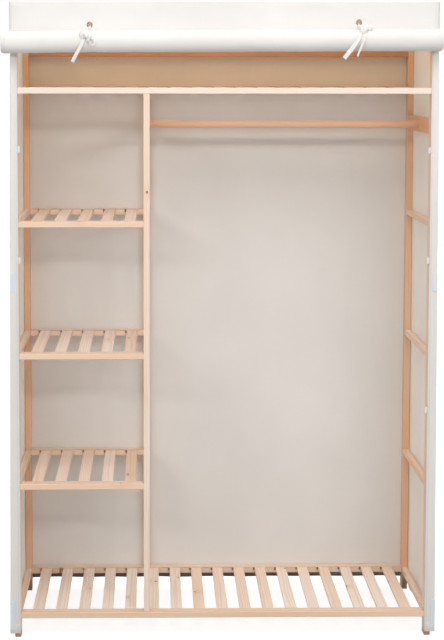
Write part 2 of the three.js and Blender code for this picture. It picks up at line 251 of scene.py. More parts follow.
canvasLook = {
    "white": colour(250, 247, 244),
    "shadowed": colour(244, 241, 237),
    "through": 0.32,
    "throughTint": colour(254, 248, 241),
    "thread": 1.3 * mm,
    "slub": 0.035,
    "slubPerMetre": (16, 900),
    "cloud": 0.05,
    "cloudPerMetre": (3.1, 2.3),
    "creasePerMetre": (9, 3.2),
    "weave": 0.012,
    "weaveDepth": 0.25 * mm,
    "creaseDepth": 2.2 * mm,
    "stitch": 3.4 * mm,
    "stitchGap": (0.62, 0.78),
    "stitchWidth": (0.4 * mm, 1.1 * mm),
    "grooveWidth": (1 * mm, 4 * mm),
    "needleHoles": colour(176, 170, 162),
    # dust on the side cloths, painted shade at the back cloth's hem
    "dustAndShade": colour(104, 78, 60),
    "paintedShadeStep": 12 * mm,
    "roughness": 0.86,
}


def canvasFinish(name, axes, stitches, through, soilAndShade=None, tint=None, shade=1.0, warm=None):
    # axes pick the distances along the cloth: "UV" or two axes of the object;
    # through is a share of light, or a function of the finish and the two distances
    look = canvasLook
    cloth = Finish(name, Sheen_Weight=0.12, Sheen_Roughness=0.5, Specular_IOR_Level=0.25)
    if axes == "UV":
        u, v, _ = cloth.weave()
    else:
        places = dict(zip("XYZ", cloth.place()))
        u, v = [places[axis] for axis in axes]
    turns = 2 * math.pi / look["thread"]
    weave = cloth.maths("SINE", u * turns) * cloth.maths("SINE", v * turns)
    long, fine = look["slubPerMetre"]
    slubs = cloth.noise(u * long, v * fine, 0.3, 2) + cloth.noise(u * fine, v * long, 5.3, 2)
    wide, high = look["cloudPerMetre"]
    cloud = cloth.noise(u * wide, v * high, 1.7, 3, 0.55)
    wide, high = look["creasePerMetre"]
    crease = cloth.noise(u * wide, v * high, 9.1, 3, 0.5)
    light = shade + (slubs - 1) * look["slub"] + (cloud - 0.5) * look["cloud"]
    light = light + weave * look["weave"]
    base = cloth.mixed(cloth.ease(cloud, 0.3, 0.75), look["shadowed"], look["white"])
    base = cloth.shaded(base, light)
    height = (weave * 0.5 + slubs) * (look["weaveDepth"] / look["creaseDepth"]) + crease
    for axis, position in stitches:
        beside, run = (u, v) if axis == "U" else (v, u)
        away = cloth.maths("ABSOLUTE", beside - position)
        line = cloth.ease(away, *look["stitchWidth"], 1.0, 0.0)
        groove = cloth.ease(away, *look["grooveWidth"], 1.0, 0.0)
        phase = cloth.maths("FRACT", run / look["stitch"])
        thread = cloth.ease(phase, *look["stitchGap"], 1.0, 0.0)
        height = height + line * thread * 0.16 - groove * 0.14
        base = cloth.mixed(line * (1 - thread) * 0.55, base, look["needleHoles"])
    # darker towards the bottom hem in this colour: dust on the side cloths, and painted shade under
    # the rear rail on the back cloth
    if soilAndShade:
        low, high, share = soilAndShade
        dustAndShadeShare = cloth.ease(v, low, high, share, 0.0) * (0.6 + cloud * 0.8)
        base = cloth.mixed(dustAndShadeShare, base, look["dustAndShade"])
    # painted shade: above a height the colour is multiplied by a tan tint, standing in for the warm
    # shade of the top compartment
    if warm:
        start, tone = warm
        shadeTinted = cloth.mixed(1.0, base, tone, "MULTIPLY")
        base = cloth.mixed(cloth.ease(v, start, start + look["paintedShadeStep"]), base, shadeTinted)
    if callable(through):
        through = through(cloth, u, v)
    cloth.glow(through, tint or look["throughTint"])
    roughness = look["roughness"] + (cloud - 0.5) * 0.1
    return cloth.finish(base, roughness, height, look["creaseDepth"], 0.5)


tapeLook = {"white": colour(251, 248, 244), "rib": 1.1 * mm, "depth": 0.3 * mm}


def tapeFinish(name):
    # twill tape: slanted ribs across its own length
    tape = Finish(name, Sheen_Weight=0.15, Specular_IOR_Level=0.3)
    u, v, _ = tape.weave()
    turns = 2 * math.pi / tapeLook["rib"]
    twill = tape.maths("SINE", (u + v) * turns)
    fuzz = tape.noise(u * 700, v * 240, 0.2, 3)
    worn = tape.noise(u * 60, v * 30, 3.1, 2)
    light = 0.965 + twill * 0.02 + (fuzz - 0.5) * 0.06 + (worn - 0.5) * 0.05
    base = tape.shaded(tapeLook["white"], light)
    return tape.finish(base, 0.82 + (worn - 0.5) * 0.12, twill * 0.5 + fuzz, tapeLook["depth"], 0.7)


def loopFinish(name):
    # the pile of hook-and-loop tape
    pile = Finish(name, Sheen_Weight=0.35, Sheen_Roughness=0.6, Specular_IOR_Level=0.2)
    places = pile.vector(*[axis * 900 for axis in pile.place()])
    cells = pile.node("TexVoronoi", {"Vector": places, "Scale": 1.0})
    tuft = pile.speckle(260, 3)
    base = pile.shaded(colour(234, 238, 243), 0.93 + tuft * 0.1 - cells * 0.05)
    return pile.finish(base, 0.92 + (tuft - 0.5) * 0.1, cells + tuft, 0.5 * mm, 0.9)


def metalFinish(name):
    metal = Finish(name, Metallic=0.9)
    scuff, tarnish = metal.speckle(420, 4, 0.6), metal.speckle(90, 2)
    base = metal.mixed(metal.ease(tarnish, 0.35, 0.7), colour(128, 116, 102), colour(166, 156, 144))
    return metal.finish(base, 0.34 + scuff * 0.2, scuff, 0.1 * mm, 0.5)


# Helpers for pieces


def steps(start, end, count):
    return [start + (end - start) * i / count for i in range(count + 1)]


def smooth(value, low, high):
    share = min(1, max(0, (value - low) / (high - low)))
    return share * share * (3 - 2 * share)


def ripple(x, y, seed):
    return noise.noise(Vector((x, y, seed)))


def addPiece(name, mesh, material, body="root"):
    # mesh is a bmesh; it is freed here
    data = bpy.data.meshes.new(name)
    mesh.to_mesh(data)
    mesh.free()
    piece = bpy.data.objects.new(name, data)
    bpy.context.scene.collection.objects.link(piece)
    data.materials.append(material)
    if body:
        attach(piece, body)
    return piece


def standsFor(piece, slot, *nodes):
    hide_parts(*nodes)


def softened(mesh):
    for face in mesh.faces:
        face.smooth = True
    return mesh


def thickened(piece, thickness, offset):
    solid = piece.modifiers.new("thickness", "SOLIDIFY")
    solid.thickness = thickness
    solid.offset = offset
    return solid


def rounded(piece, width, segments=2, angle=40):
    edges = piece.modifiers.new("eased edges", "BEVEL")
    edges.width = width
    edges.segments = segments
    edges.limit_method = "ANGLE"
    edges.angle_limit = math.radians(angle)


def clothMesh(across, along, place, hole=None):
    # a grid whose rows meet at the distances given, bent into shape by place(across, along)
    mesh = bmesh.new()
    weave = mesh.loops.layers.uv.new("weave")
    columns, rows = len(across) - 1, len(along) - 1
    bmesh.ops.create_grid(mesh, x_segments=columns, y_segments=rows, size=0.5)
    flat = {}
    for vert in mesh.verts:
        column = round((vert.co.x + 0.5) * columns)
        row = round((vert.co.y + 0.5) * rows)
        flat[vert] = (across[column], along[row])
    for face in mesh.faces:
        for loop in face.loops:
            loop[weave].uv = flat[loop.vert]
    if hole:
        inside = [f for f in mesh.faces if all(hole(*flat[v]) for v in f.verts)]
        bmesh.ops.delete(mesh, geom=inside, context="FACES")
    for vert in mesh.verts:
        vert.co = place(*flat[vert])
    return softened(mesh)


def joinMeshes(meshes):
    whole = bmesh.new()
    whole.loops.layers.uv.new("weave")
    for part in meshes:
        held = bpy.data.meshes.new("part")
        part.to_mesh(held)
        part.free()
        whole.from_mesh(held)
        bpy.data.meshes.remove(held)
    return whole


def curvePoint(route, share):
    # Catmull-Rom curve through the route
    spans = len(route) - 1
    index = min(int(share * spans), spans - 1)
    t = share * spans - index
    before = route[index - 1] if index else route[0] * 2 - route[1]
    after = route[index + 2] if index + 2 <= spans else route[-1] * 2 - route[-2]
    a, b = route[index], route[index + 1]
    return (
        a * 2
        + (b - before) * t
        + (before * 2 - a * 5 + b * 4 - after) * t * t
        + (a * 3 - before - b * 3 + after) * t * t * t
    ) / 2


def tapeMesh(route, width, facing, count=24, cup=0.0, twist=0.0, closed=False):
    # a flat tape along a route; facing(share) is the way its face looks, cup curls its edges
    points = [curvePoint(route, i / count) for i in range(count + 1)]
    lengths = [0.0]
    for a, b in zip(points, points[1:]):
        lengths.append(lengths[-1] + (b - a).length)
    total = lengths[-1]

    def place(s, t):
        i = min(range(count + 1), key=lambda k: abs(lengths[k] - t))
        ahead, behind = points[min(i + 1, count)], points[max(i - 1, 0)]
        if closed and i in (0, count):
            ahead, behind = points[1], points[-2]
        forward = (ahead - behind).normalized()
        out = facing(t / total)
        side = forward.cross(out).normalized()
        out = side.cross(forward)
        angle = math.radians(twist) * t / total
        along, away = math.cos(angle), math.sin(angle)
        side, out = side * along + out * away, out * along - side * away
        share = 2 * s / width
        return points[i] + side * s + out * (cup * share * share)

    return clothMesh(steps(-width / 2, width / 2, 4), lengths, place)


# Free tails of the ties, and what every tape is made of

towardsRoom = Vector((0, -1, 0))
eyeletX = 350 * mm
eyeletShift = {"left": (-1 * mm, -3.7 * mm), "right": (-2.2 * mm, 3.3 * mm)}


def eyeletPlace(side):
    low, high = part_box(f"{side}_eyelet")
    x, z = eyeletShift[side]
    return Vector(((low.x + high.x) / 2 + x, (low.z + high.z) / 2 + z))


rollFront = rollY - rollRadius
knotRise = 22.282 * mm
knotZ = rollZ + knotRise
# middle lines, each point as mm to the right of the eyelet, in front of the roll, above the knot
tails = {
    "left_tie_tail": {
        "eyelet": -eyeletX,
        "width": 9,
        "twist": 14,
        "route": [
            (-8.2, -1.6, -3.3), (-12.5, 0.6, -14.8), (-17, 2.8, -25.8), (-22, 3.4, -37.8),
            (-30, 3.1, -51.8), (-37.5, 2.4, -65.3), (-44, 1.6, -78.3),
        ],
    },
    "right_tie_tail": {
        "eyelet": eyeletX,
        "width": 11,
        "twist": -10,
        "route": [
            (-4.2, -1.6, -3.3), (-8.8, 2.2, -14.3), (-14.8, 5.2, -24.3), (-22.4, 6.4, -35.8),
            (-31.6, 6.2, -47.3), (-39.8, 5.2, -58.3), (-47.2, 3.8, -68.3),
        ],
    },
    "right_tie_short_tail": {
        "eyelet": eyeletX,
        "width": 5,
        "twist": 18,
        "route": [
            (10.6, -2.5, -3.3), (7.6, 1.2, -14.3), (3, 3.9, -24.8), (-2.4, 4.6, -35.8),
            (-6.6, 4.2, -45.8), (-10.4, 3.2, -54.8), (-12.8, 2.2, -62.8),
        ],
    },
}
tailSteps = 28
cottonTape = tapeFinish("cotton_tape")


def tapePiece(name, mesh, thickness, node):
    piece = addPiece(name, mesh, cottonTape)
    thickened(piece, thickness, 0)
    standsFor(piece, "cotton_tape", node)
    return piece


def addTails():
    for name, tail in tails.items():
        route = [
            Vector((tail["eyelet"] + right * mm, rollFront - forward * mm, knotZ + up * mm))
            for right, forward, up in tail["route"]
        ]
        width = tail["width"] * mm
        mesh = tapeMesh(route, width, lambda share: towardsRoom, tailSteps, 0.7 * mm, tail["twist"])
        piece = tapePiece(name + "_tape", mesh, 0.8 * mm, name)
        path = [curvePoint(route, share) for share in steps(0, 1, tailSteps)]
        length = sum((b - a).length for a, b in zip(path, path[1:]))
        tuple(path[0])
        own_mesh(piece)


addTails()
print("tails of the ties hung")


# Pine

pineLook = {
    "pale": colour(255, 239, 225),
    "warm": colour(246, 212, 182),
    "deep": colour(240, 178, 130),
    # for wear and painted shade
    "worn": colour(112, 78, 56),
    "late": colour(214, 160, 118),
    "knot": colour(150, 92, 58),
    "ringWidth": 3.3 * mm,
    "ringShare": 0.3,
    "ringStops": [(0, 0.1), (0.35, 0.0), (0.82, 1.0), (1, 0.25)],
    "knotSpacing": 0.8,
    "knotSize": 3.2 * mm,
    "grainDepth": 0.25 * mm,
    "heart": (9 * mm, 31 * mm),
    "heartWander": 34 * mm,
    "fibrePerMetre": (11, 1300),
    "streakPerMetre": (2.2, 130),
    "patchPerMetre": (2.4, 24),
}


def pinePattern(wood, lengthwise, across, upright, tone, seed, worn=None):
    look = pineLook
    knotPlace = {"W": lengthwise / look["knotSpacing"] + seed, "Scale": 1.0}
    knotCell = wood.node("TexVoronoi", knotPlace, "Distance", voronoi_dimensions="1D")
    chanceAcross, chanceSize, _ = wood.split(knotCell.out("Color"))
    knotAway = knotCell * look["knotSpacing"]
    knotBeside = across - (chanceAcross - 0.5) * 0.05
    knotRange = wood.maths("SQRT", knotAway * knotAway * 0.55 + knotBeside * knotBeside)
    knotSize = look["knotSize"] * (0.4 + chanceSize)
    aroundKnot = wood.maths("EXPONENT", knotRange / (-2.6 * look["knotSize"]))
    wobble = wood.noise(lengthwise * 1.7 + seed, across * 7, upright * 7, 3)
    # rings round a heart that lies outside the bar and wanders along it
    beside, below = look["heart"]
    heartAcross = across + beside + (wobble - 0.5) * look["heartWander"]
    heartUp = upright + below
    radius = wood.maths("SQRT", heartAcross * heartAcross + heartUp * heartUp)
    phase = wood.maths("FRACT", (radius + aroundKnot * 7 * mm) / look["ringWidth"])
    late = wood.node("ValToRGB", {"Fac": phase}, stops=look["ringStops"])
    long, fine = look["fibrePerMetre"]
    fibre = wood.noise(lengthwise * long, across * fine, upright * fine + seed, 3, 0.6)
    long, fine = look["streakPerMetre"]
    streak = wood.noise(lengthwise * long + seed, across * fine, upright * fine, 2)
    long, fine = look["patchPerMetre"]
    patch = wood.noise(lengthwise * long, across * fine + seed, upright * fine, 2)
    warmth = tone + (patch - 0.5) * 0.5 + (streak - 0.5) * 0.3
    shades = [(0, look["pale"]), (0.5, look["warm"]), (1, look["deep"])]
    base = wood.node("ValToRGB", {"Fac": warmth}, stops=shades)
    base = wood.mixed(late.out("Color") * look["ringShare"], base, look["late"])
    base = wood.shaded(base, 0.97 + (fibre - 0.5) * 0.16 + (streak - 0.5) * 0.08)
    inKnot = wood.ease(knotRange / knotSize, 0.75, 1.25, 0.85, 0.0)
    base = wood.mixed(aroundKnot * 0.35, base, look["late"])
    base = wood.mixed(inKnot, base, look["knot"])
    # darkened in the worn colour: wear and painted shade at the feet, painted shade on the rails
    # under the roof
    if worn is not None:
        base = wood.mixed(worn * (0.6 + patch * 0.6), base, look["worn"])
    height = fibre * 0.6 + late * 0.4 - inKnot * 0.5
    return wood.finish(base, 0.46 + (fibre - 0.5) * 0.2, height, look["grainDepth"], 0.6)


def pineFinish(name, along, middle, tone, seed, wearAndShadeUpTo=0.0, paintedShade=None):
    # timber with its grain along one axis, centred on its own piece
    wood = Finish(name, Specular_IOR_Level=0.4, Coat_Weight=0.08, Coat_Roughness=0.35)
    axes = dict(zip("XYZ", wood.place()))
    centre = dict(zip("XYZ", middle))
    order = {"X": "XYZ", "Y": "YXZ", "Z": "ZXY"}[along]
    lengthwise, across, upright = [axes[axis] - centre[axis] for axis in order]
    lengthwise, across = lengthwise + seed * 1.37, across * (1 if seed % 2 else -1)
    # the worn colour darkens the feet up to a height, as wear and painted shade, or a whole rail
    # under the roof as painted shade
    worn = wood.ease(axes["Z"], wearAndShadeUpTo * 0.3, wearAndShadeUpTo, 0.75, 0.0) if wearAndShadeUpTo else paintedShade
    return pinePattern(wood, lengthwise, across, upright, tone, seed * 0.61, worn)


# tone per piece, partly the pine's own and partly painted light: pale on the lit top shelf rail,
# deeper on the front rails further down, deepest on the rails in shade under the roof
toneAndShadeOf = {
    "top_shelf_front_rail": 0.02,
    "front_divider_post": 0.2,
    "upper_shelf_front_rail": 0.38,
    "middle_shelf_front_rail": 0.4,
    "lower_shelf_front_rail": 0.42,
    "bottom_shelf_front_rail": 0.45,
    "rear_left_post": 0.72,
    "rear_right_post": 0.72,
    "rear_divider_post": 0.6,
    "rear_upper_rail": 1.0,
    "roof_rear_rail": 0.8,
    "roof_front_rail": 1.0,
    "right_rod_bearer": 0.8,
}
# feet darkened up to these heights: wear at the floor, and painted shade on the rear posts reaching
# higher
feetWearAndShade = {"front": 24 * mm, "rear": 62 * mm}
# painted shade: the rails in shade under the roof are darkened in the worn colour
paintedShadeOf = {"rear_upper_rail": 0.4, "roof_rear_rail": 0.4, "roof_front_rail": 0.3}


def dressTimber():
    seed = 0
    for name, node in sorted(cadNodes.items()):
        if not name.endswith(("post", "rung", "rail", "bearer")):
            continue
        seed += 1
        low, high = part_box(name)
        size = high - low
        along = "XYZ"[max(range(3), key=lambda i: size[i])]
        tone = toneAndShadeOf.get(name, 0.3 + 0.3 * ripple(seed * 3.7, 0.4, 2.2))
        standing = low.z < mm and "post" in name
        wearAndShadeUpTo = feetWearAndShade[name.split("_")[0]] if standing else 0
        paintedShade = paintedShadeOf.get(name)
        material = pineFinish(name + "_pine", along, (low + high) / 2, tone, seed, wearAndShadeUpTo, paintedShade)
        node.data.materials.clear()
        node.data.materials.append(material)


dressTimber()
print("timber dressed")


# Slatted shelves

slats = {
    "width": 30 * mm,
    "pitch": 62 * mm,
    "thickness": 7.5 * mm,
    "drop": 1 * mm,
    "endRoom": 20 * mm,
    "tenon": 8.5 * mm,
    "paleness": 0.1,
    "bottomPaintedLight": 0.24,
    "mortiseDepth": 16 * mm,
    "mortiseRoom": (4.4 * mm, 0.4 * mm),
    "ease": 0.9 * mm,
}


def slatFinish(name, middle, railFront, seed, paleness):
    # slats run from front to back, the rail behind them from left to right
    wood = Finish(name, Specular_IOR_Level=0.4, Coat_Weight=0.08, Coat_Roughness=0.35)
    x, y, z = wood.place()
    cell = wood.maths("ROUND", x / slats["pitch"])
    place = {"Vector": wood.vector(cell, seed, 0)}
    chance = wood.node("TexWhiteNoise", place, "Color", noise_dimensions="2D")
    first, second, third = wood.split(chance)
    onRail = wood.maths("GREATER_THAN", y, railFront - 0.2 * mm)
    slatAcross = x - cell * slats["pitch"] + (first - 0.5) * 40 * mm
    lengthwise = wood.chosen(onRail, y + first * 7 + cell * 3.1, x + seed)
    across = wood.chosen(onRail, slatAcross, y - middle[1])
    upright = wood.chosen(onRail, z - middle[2] + (second - 0.5) * 50 * mm, z - middle[2])
    tone = wood.chosen(onRail, third * 0.5 - paleness, 0.35)
    return pinePattern(wood, lengthwise, across, upright, tone, seed * 0.47)


def barMesh(low, high):
    mesh = bmesh.new()
    size, middle = high - low, (low + high) / 2
    shape = Matrix.Translation(middle) @ Matrix.Diagonal((*size, 1))
    bmesh.ops.create_cube(mesh, size=1, matrix=shape)
    return mesh


def railWithMortises(low, high, centres, slotZ):
    mesh = barMesh(low, high)
    left, right = [slats["width"] / 2 + room for room in slats["mortiseRoom"]]
    sides = [x + side for x in centres for side in (-left, right)]
    cuts = [(Vector((x, 0, 0)), Vector((1, 0, 0))) for x in sides]
    cuts += [(Vector((0, 0, z)), Vector((0, 0, 1))) for z in slotZ]
    for point, normal in cuts:
        whole = mesh.verts[:] + mesh.edges[:] + mesh.faces[:]
        bmesh.ops.bisect_plane(mesh, geom=whole, plane_co=point, plane_no=normal)
    for x in centres:
        mouth = [
            f
            for f in mesh.faces
            if f.normal.y < -0.9
            and -left < f.calc_center_median().x - x < right
            and slotZ[0] < f.calc_center_median().z < slotZ[1]
        ]
        grown = bmesh.ops.extrude_face_region(mesh, geom=mouth)["geom"]
        corners = [v for v in grown if isinstance(v, bmesh.types.BMVert)]
        bmesh.ops.translate(mesh, verts=corners, vec=(0, slats["mortiseDepth"], 0))
        bmesh.ops.delete(mesh, geom=mouth, context="FACES")
    flatBefore = [e for e in mesh.edges if e.is_manifold and e.calc_face_angle(0) < 0.01]
    bmesh.ops.dissolve_edges(mesh, edges=flatBefore, use_verts=True)
    return mesh


def slatCentres(low, high):
    # slats lie at whole multiples of the pitch, which is how slatFinish tells them apart
    reach = slats["width"] / 2 + slats["endRoom"]
    first = math.ceil((low + reach) / slats["pitch"] - 1e-6)
    last = math.floor((high - reach) / slats["pitch"] + 1e-6)
    return [i * slats["pitch"] for i in range(first, last + 1)]


def addShelfDeck(level, seed):
    node = level + "_shelf_slats"
    low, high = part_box(node)
    railFront = backY - timberDepth
    slatTop = high.z - slats["drop"]
    slatBottom = slatTop - slats["thickness"]
    centres = slatCentres(low.x, high.x)
    slotZ = (slatBottom - 0.5 * mm, slatTop + 0.3 * mm)
    parts = [railWithMortises(Vector((low.x, railFront, low.z)), high, centres, slotZ)]
    for i, x in enumerate(centres):
        lift = 0.15 * mm * ripple(i * 2.3, seed, 0.5)
        turn = 0.0016 * ripple(i * 1.7, seed, 4.5)
        slat = barMesh(
            Vector((x - slats["width"] / 2, low.y, slatBottom + lift)),
            Vector((x + slats["width"] / 2, railFront + slats["tenon"], slatTop + lift)),
        )
        spin = Matrix.Rotation(turn, 3, "Z")
        bmesh.ops.rotate(slat, verts=slat.verts, cent=(x, railFront, slatTop), matrix=spin)
        parts.append(slat)
    middle = (0, (railFront + backY) / 2, (low.z + high.z) / 2)
    # painted light: the bottom deck is made paler, for the light from above falling on it
    paleness = slats["bottomPaintedLight"] if level == "bottom" else slats["paleness"]
    material = slatFinish(level + "_deck_pine", middle, railFront, seed, paleness)
    deck = addPiece(level + "_shelf_deck", joinMeshes(parts), material)
    rounded(deck, slats["ease"], 2)
    standsFor(deck, "pine", node)


for index, level in enumerate(["bottom", "lower", "middle", "upper", "top"]):
    addShelfDeck(level, index * 2.0 + 1.0)
print("slatted shelves laid")


# Hanging rod


def addRod():
    low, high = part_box("hanging_rod")
    middle = (low + high) / 2
    mesh = bmesh.new()
    across = Matrix.Translation(middle) @ Matrix.Rotation(math.pi / 2, 4, "Y")
    radius = (high.z - low.z) / 2
    sizes = {"radius1": radius, "radius2": radius, "depth": high.x - low.x}
    bmesh.ops.create_cone(mesh, cap_ends=True, segments=64, matrix=across, **sizes)
    for face in mesh.faces:
        face.smooth = len(face.verts) == 4
    rod = addPiece("turned_rod", mesh, pineFinish("rod_pine", "X", middle, 0.65, 31))
    rounded(rod, 0.8 * mm, 2, 60)
    standsFor(rod, "rod_pine", "hanging_rod")


addRod()
print("rod hung")


# The canvas cover

cover = {
    "flare": 12 * mm,
    "fold": 4 * mm,
    "sideFolds": 3,
    "backFolds": 7,
    "hem": 22 * mm,
    "hemThickness": 0.7 * mm,
    "stripWidth": 16 * mm,
    "cornerRadius": 1.6 * mm,
    "backLap": 12 * mm,
    "roofLap": 6 * mm,
    "rearFlareShare": 0.3,
    "frontReach": (2 * mm, 0.8 * mm),
    "roofSag": 5 * mm,
    "roofThrough": 0.7,
    "roofTint": colour(255, 238, 214),
    # a tan tint painted inside the back cloth above the top shelf, as its warm shade
    "paintedTopShade": colour(255, 245, 228),
    "paintedTopShadeFrom": 1462 * mm,
    "stripThrough": 0.14,
    "backThrough": 0.17,
    # painted shade: the back cloth is a little darker than the other canvas, for the shade inside
    "backPaintedShade": 0.94,
    # the back cloth hangs this low so that the painted shade at its hem shows under the rear rail
    "backBottom": 29 * mm,
    "frontThrough": 0.1,
    "sideSoil": (26 * mm, 0.12),
    "hemSeam": 3 * mm,
    "edgeSeam": 9 * mm,
    "roofSeam": 4 * mm,
}


def clothPiece(name, mesh, finish, nodes, body="root", inside=None):
    # thickened outwards, with a finish of its own on the inner face if one is given
    piece = addPiece(name, mesh, finish, body)
    solid = thickened(piece, canvasThickness, 1)
    if inside:
        piece.data.materials.append(inside)
        solid.material_offset = 1
    standsFor(piece, "canvas", *nodes)
    return piece


def flareAt(z, share=1.0):
    return share * cover["flare"] * (postTop - z) / (postTop - floorGap)


def foldAt(share, count):
    return (1 - math.cos(2 * math.pi * count * share)) / 2


def hemStep(t):
    # the doubled cloth of a bottom hem stands a little prouder
    return cover["hemThickness"] * (1 - smooth(t, cover["hem"], cover["hem"] + 1.5 * mm))


def hemRows(height, count):
    # close rows at the hem's edge, even ones above it
    hem = cover["hem"]
    edge = [0, 1 * mm, hem * 0.5] + [hem + distance * mm for distance in (0, 0.8, 1.6, 6)]
    return edge + steps(hem + 20 * mm, height, count)


def addSideCloth(side, sign):
    height = postTop - floorGap
    stripInner = innerX + 0.5 * mm
    lapY = backY + seam + canvasThickness + 0.3 * mm
    stripY = frontY - seam
    lap, depth, strip = cover["backLap"], lapY - stripY, cover["stripWidth"]
    corner = lap + depth
    radius, rearShare = cover["cornerRadius"], cover["rearFlareShare"]

    def plan(s, edge):
        # a point on the way from the lap behind the back cloth, round to the front strip
        if s < lap:
            return Vector((edge - lap + s, lapY))
        if s < corner:
            return Vector((edge, lapY - (s - lap)))
        share = (s - corner) / strip
        return Vector((edge + (stripInner - edge) * share, stripY))

    def roundCorner(s, edge, point):
        for turn, centre in (
            (lap, Vector((edge - radius, lapY - radius))),
            (corner, Vector((edge - radius, stripY + radius))),
        ):
            if abs(s - turn) < radius:
                return centre + (point - centre).normalized() * radius
        return point

    def place(s, t):
        z = floorGap + t
        up = t / height
        forward = smooth((s - lap) / depth, 0.05, 0.6)
        edge = outerX + seam + flareAt(z, rearShare + (1 - rearShare) * forward)
        x, y = roundCorner(s, edge, plan(s, edge))
        onSide = smooth(s, lap + 6 * mm, lap + 50 * mm)
        onSide *= 1 - smooth(s, corner - 40 * mm, corner - 5 * mm)
        share = (s - lap) / depth
        inward = cover["fold"] * (1 - up) * foldAt(share, cover["sideFolds"]) * onSide
        loose = 1.6 * mm * ripple(share * 4.1 + sign, z * 1.3, 3.3)
        loose += 0.7 * mm * ripple(share * 13, z * 3.1, 7.7 + sign)
        x += (loose * (1 - 0.6 * up) - inward + 0.6 * mm) * onSide
        x += hemStep(t) * onSide
        if s > corner:
            y -= hemStep(t) + 0.5 * mm * (1 + ripple(z * 5, sign, 8.8)) * (1 - up)
        z += 1.2 * mm * ripple(s * 9, sign * 3, 1.1) * (1 - smooth(t, 0, 60 * mm))
        return Vector((sign * x, y, z))

    across = (
        [0, lap * 0.5]
        + steps(lap - radius, lap + radius, 4)
        + steps(lap + 6 * mm, corner - 6 * mm, 44)
        + steps(corner - radius, corner + radius, 4)
        + steps(corner + 4 * mm, corner + strip, 4)
    )
    mesh = clothMesh(across, hemRows(height, 56), place)
    if sign > 0:
        bmesh.ops.reverse_faces(mesh, faces=mesh.faces)
    stitches = [("V", cover["hem"] - cover["hemSeam"]), ("U", corner + strip - 3.5 * mm)]
    shares = (canvasLook["through"], cover["stripThrough"])

    def through(finish, u, v):
        return finish.ease(u, corner - 8 * mm, corner + 1 * mm, *shares)

    finish = canvasFinish(f"{side}_canvas", "UV", stitches, through, (0, *cover["sideSoil"]))
    nodes = [f"{side}_panel", f"{side}_front_strip"]
    cloth = clothPiece(f"{side}_side_cloth", mesh, finish, nodes)


def addBackCloth():
    bottom = cover["backBottom"]
    height = postTop - bottom
    width = 2 * outerX

    def place(s, t):
        z = bottom + t
        up = t / height
        share = s / width + 0.5
        reach = outerX + flareAt(z, cover["rearFlareShare"]) - 0.2 * mm
        edge = smooth(share, 0, 0.04) * (1 - smooth(share, 0.96, 1))
        swayed = share + 0.012 * ripple(z * 1.1, 0, 2)
        fold = cover["fold"] * (1 - up) * foldAt(swayed, cover["backFolds"])
        loose = 1.1 * mm * (1 + ripple(share * 9, z * 1.5, 12.5)) * (1 - up * up)
        y = backY + seam + (fold * 0.8 + loose + 0.3 * mm + hemStep(t)) * edge
        z += 1.0 * mm * ripple(share * 14, 5, 1.1) * (1 - smooth(t, 0, 60 * mm))
        return Vector((reach * (2 * share - 1), y, z))

    across = steps(-width / 2, width / 2, 110)
    mesh = clothMesh(across, hemRows(height, 56), place)
    bmesh.ops.reverse_faces(mesh, faces=mesh.faces)
    stitches = [("V", bottom + cover["hem"] - cover["hemSeam"])]
    # painted shade: the hem seen under the rear rail is darkened fully in the dust colour, where
    # the shade falls
    soilAndShade = (bottom + 14 * mm, bottom + 28 * mm, 1.0)
    common = ("XZ", stitches, cover["backThrough"], soilAndShade, None, cover["backPaintedShade"])
    finish = canvasFinish("back_canvas", *common)
    # painted shade: the inner face of the back cloth is tinted tan above the top shelf
    warm = (cover["paintedTopShadeFrom"], cover["paintedTopShade"])
    inside = canvasFinish("back_canvas_inside", *common, warm)
    cloth = clothPiece("back_cloth", mesh, finish, ["back_panel"], inside=inside)


def addRoofCloth():
    lap = cover["roofLap"]
    top = postTop + seam
    reachX = outerX + seam + canvasThickness + 0.15 * mm
    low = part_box("front_valance")[1].y + 0.2 * mm
    high = backY + seam + canvasThickness * 2 + 0.5 * mm
    middleY, reachY = (low + high) / 2, (high - low) / 2
    bend = 1.5 * mm
    arc = bend * math.pi / 2

    def turned(distance, reach):
        # how far out, and how far down, a distance from the middle lands over the edge
        away = abs(distance)
        flat = reach - bend
        if away <= flat:
            return away, 0
        if away <= flat + arc:
            angle = (away - flat) / bend
            return flat + bend * math.sin(angle), bend * (1 - math.cos(angle))
        return reach, bend + away - flat - arc

    def place(s, t):
        x, dropX = turned(s, reachX)
        y, dropY = turned(t, reachY) if t > 0 else (-t, 0)
        shareX, shareY = min(1, abs(s) / reachX), min(1, abs(t) / reachY)
        sag = cover["roofSag"] * smooth(1 - shareX, 0.04, 0.4) * smooth(1 - shareY, 0.16, 0.9)
        waves = 0.8 * mm * ripple(s * 5, t * 5, 6.1)
        waves *= smooth(1 - shareY, 0.16, 0.5) * smooth(1 - shareX, 0.04, 0.2)
        z = top - max(dropX, dropY) - sag + waves
        return Vector((math.copysign(x, s), middleY + math.copysign(y, t), z))

    def stops(reach, count):
        flat = reach - bend
        beyond = (arc * 0.33, arc * 0.66, arc, arc + lap * 0.5, arc + lap)
        rim = [flat + distance for distance in beyond]
        return [-r for r in reversed(rim)] + steps(-flat, flat, count) + rim

    fromFront = [-reachY] + [stop for stop in stops(reachY, 24) if stop > -reachY + bend * 0.5]
    mesh = clothMesh(stops(reachX, 60), fromFront, place)
    side = reachX - cover["roofSeam"]
    stitches = [("U", side), ("U", -side)]
    stitches += [("V", high - cover["roofSeam"]), ("V", low + cover["roofSeam"])]
    through = cover["roofThrough"]
    finish = canvasFinish("roof_canvas", "XY", stitches, through)
    inside = canvasFinish("roof_canvas_inside", "XY", stitches, through, None, cover["roofTint"])
    cloth = clothPiece("roof_cloth", mesh, finish, ["roof_panel"], inside=inside)


